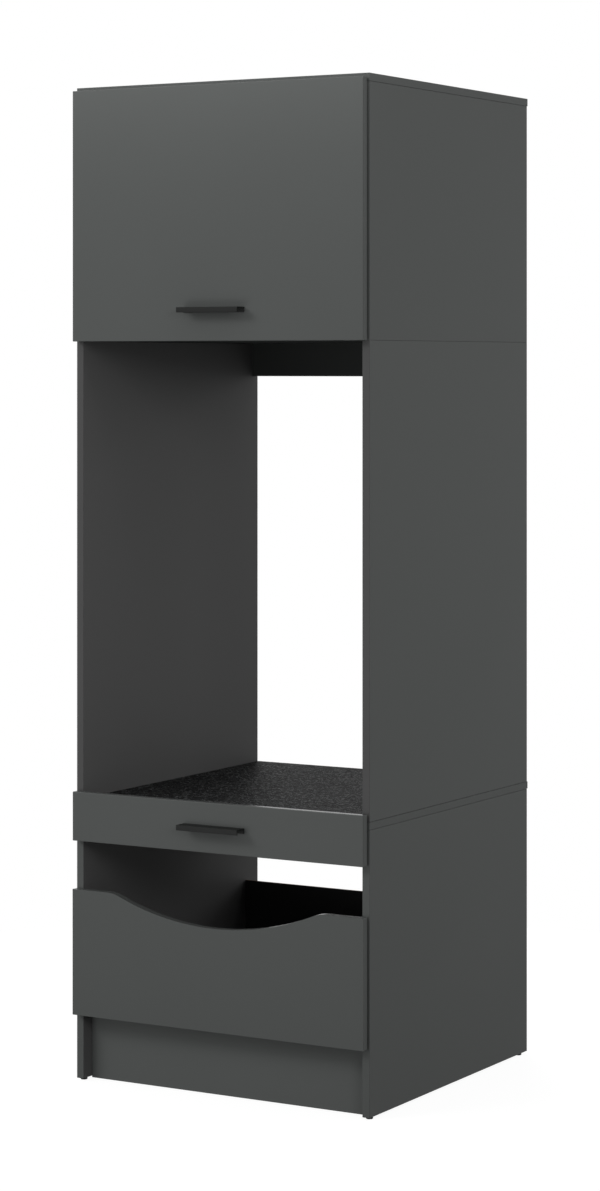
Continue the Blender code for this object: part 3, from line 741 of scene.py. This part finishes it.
# %% Cams of the rails and the bottom
cam_inset, cam_offset = 34 * mm, 20 * mm
front_cam_inset, rear_cam_inset = 90 * mm, 60 * mm
for node in ("bay_rear_rail", "base_rear_rail"):
    low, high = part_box(node)
    ends, height = (low[0] + cam_inset, high[0] - cam_inset), (low[2] + high[2]) / 2
    spots = [(end, high[1], height + sign * cam_offset) for end in ends for sign in (-1, 1)]
    fasten(node + "_cams", node, cam_head, spots, (0, 1, 0), cast_zinc)
low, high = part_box("base_bottom")
ends = (low[0] + cam_inset, high[0] - cam_inset)
rows = (low[1] + front_cam_inset, (low[1] + high[1]) / 2, high[1] - rear_cam_inset)
spots = [(end, row, low[2]) for end in ends for row in rows]
fasten("base_bottom_cams", "base_bottom", cam_head, spots, (0, 0, -1), cast_zinc)
print(len(fasteners), "sets with the cams")

# %% [markdown]
# ## Nail the back on
#
# The back of the upper cabinet is nailed to its sides and bottom. The last hammer blow leaves a shallow
# dimple, and the nail's head sits in it, just below the surface. The dimples are cut out of the dressed copy
# of the board.

# %% Nails and dimples
nail_inset, nail_sunk = 6 * mm, 0.62 * mm
first_nail, nail_pitch, bottom_pitch = 25 * mm, 110 * mm, 120 * mm
dimple_radius, dimple_cutter = 2.2 * mm, 1.3 * mm
low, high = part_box("upper_back")
surface = high[1]
columns = (low[0] + nail_inset, high[0] - nail_inset)
spots = [(column, surface, low[2] + first_nail + nail_pitch * count)
         for column in columns for count in range(5)]
spots += [(bottom_pitch * count, surface, low[2] + nail_inset) for count in (-2, -1, 0, 1, 2)]
for spot in spots:
    deselect()
    bpy.ops.mesh.primitive_cylinder_add(vertices=12, radius=dimple_radius, depth=dimple_cutter, location=spot,
                                        rotation=(radians(90), 0, 0))
    dimple = bpy.context.object
    settle()
    cut_away(thin_boards["upper_back"], dimple)
nail_spots = [(across, surface - nail_sunk, height) for across, _, height in spots]
fasten("upper_back_nails", "upper_back", nail_head, nail_spots, (0, 1, 0))
for master in masters:
    bpy.data.objects.remove(master)
print(len(spots), "nails,", len(fasteners), "sets in all")

# %% [markdown]
# ## Keep the large faces flat
#
# Smooth shading rounds the narrow facets along an edge and the facets of a round part, but it bends the light
# on the large faces as well, because they share their corners with those facets: a side panel then looks
# bulged, darker in front and lighter behind. The Weighted Normal modifier turns each corner the way its
# largest face points. The rounding keeps its soft glint, and the board looks flat, as it is.

# %% Corners turned to the largest face
smooth_angle, largest_face_only = radians(50), 100
for piece in [*boards.values(), *fittings.values()]:
    choose(piece)
    bpy.ops.object.shade_smooth_by_angle(angle=smooth_angle)
    weighting = piece.modifiers.new("largest_face", "WEIGHTED_NORMAL")
    weighting.weight, weighting.keep_sharp = largest_face_only, True
    bpy.ops.object.modifier_apply(modifier=weighting.name)
print(len(boards) + len(fittings), "pieces with their corners turned")

# %% [markdown]
# ## Floor
#
# The floor is white to the camera, with the cabinet's own soft shadow on it. It is a disc with a dim surface
# for all other light, because a real studio floor of this kind sends little light up, and the lower part of
# the cabinet's side is darker for it. Beyond the disc the background takes over in the same white.

# %% Floor
floor_radius, floor_drop = 1.7, 0.5 * mm
floor_grey, glow_strength, shadow_grey = (0.07, 0.07, 0.07), 0.92, (0.15, 0.15, 0.15)
deselect()
bpy.ops.mesh.primitive_circle_add(vertices=96, radius=floor_radius, fill_type="NGON",
                                  location=(0, 0, -floor_drop))
floor = bpy.context.object
floor.name = "studio_floor"
floor_finish = Finish("studio_floor_white", Base_Color=floor_grey, Roughness=1.0, Specular_IOR_Level=0.0)
glow = floor_finish.node("ShaderNodeEmission", {}, {"Color": (1, 1, 1), "Strength": glow_strength})
shadowed = floor_finish.node("ShaderNodeBsdfDiffuse", {}, {"Color": shadow_grey})
pale = floor_finish.node("ShaderNodeAddShader", {}, {0: glow, 1: shadowed})
dim = Signal(floor_finish, floor_finish.shader.outputs[0])
floor_finish.feed(floor_finish.output.inputs["Surface"], floor_finish.white_to_the_eye(dim, pale))
floor.data.materials.append(floor_finish.material)
print("floor disc", round(floor.dimensions.x, 2), "m across")

# %% [markdown]
# ## Light
#
# A studio's white surround lights the cabinet evenly from all sides. A wide soft box high on the left draws
# the soft shadows below the handles, and a long narrow one just in front of the top lightens the flap's upper
# edge, from where it fades downwards. A low one in front fills the plinth, one on the right lifts the tall
# side, and two behind keep the back from going black. Those two are kept out of reflections, because at a
# grazing angle they would draw a bright streak along the side. The surround is pure white to the camera and
# in reflections, and weaker as light on the boards.

# %% Surround
world = bpy.data.worlds.new("studio")
bpy.context.scene.world = world
world.use_nodes = True
world.node_tree.nodes.clear()
studio = Network(world.node_tree)
surround_strength = 0.50
surround = studio.node("ShaderNodeBackground", {}, {"Color": (1, 1, 1), "Strength": surround_strength})
backdrop = studio.node("ShaderNodeBackground", {}, {"Color": (1, 1, 1), "Strength": 1.0})
sky = world.node_tree.nodes.new("ShaderNodeOutputWorld")
studio.feed(sky.inputs["Surface"], studio.white_to_the_eye(surround, backdrop))
bpy.context.scene.view_settings.view_transform = "Standard"
print("surround", surround_strength)


# %% Lamps
def soft_lamp(name, spot, target, width, height, watts):
    """A soft box that faces a point."""
    lamp_data = bpy.data.lights.new(name, "AREA")
    lamp_data.shape, lamp_data.size, lamp_data.size_y, lamp_data.energy = "RECTANGLE", width, height, watts
    lamp = bpy.data.objects.new(name, lamp_data)
    lamp.location = spot
    lamp.rotation_euler = (Vector(target) - Vector(spot)).to_track_quat("-Z", "Y").to_euler()
    lamp.visible_camera = False
    lamp.visible_glossy = not name.startswith("rear_")
    bpy.context.scene.collection.objects.link(lamp)
    return lamp


lamps = [soft_lamp("key_lamp", (-3.5, -4.45, 4.2), (0, -0.3, 1.5), 3.0, 1.6, 129),
         soft_lamp("strip_lamp", (0, -0.64, 2.15), (0, -0.34, 2.15), 1.4, 0.08, 1.6),
         soft_lamp("low_front_lamp", (-0.6, -2.6, 0.35), (0, -0.34, 0.4), 1.4, 0.8, 11.5),
         soft_lamp("right_lamp", (4.5, -4.0, 2.6), (0.2, 0, 1.2), 1.6, 1.6, 54),
         soft_lamp("rear_left_lamp", (-2.6, 4.6, 3.4), (0, 0.3, 1.2), 1.8, 1.8, 90),
         soft_lamp("rear_right_lamp", (2.7, 4.7, 1.9), (0, 0.3, 1.1), 1.8, 1.8, 40)]
print({lamp.name: round(lamp.data.energy, 2) for lamp in lamps})
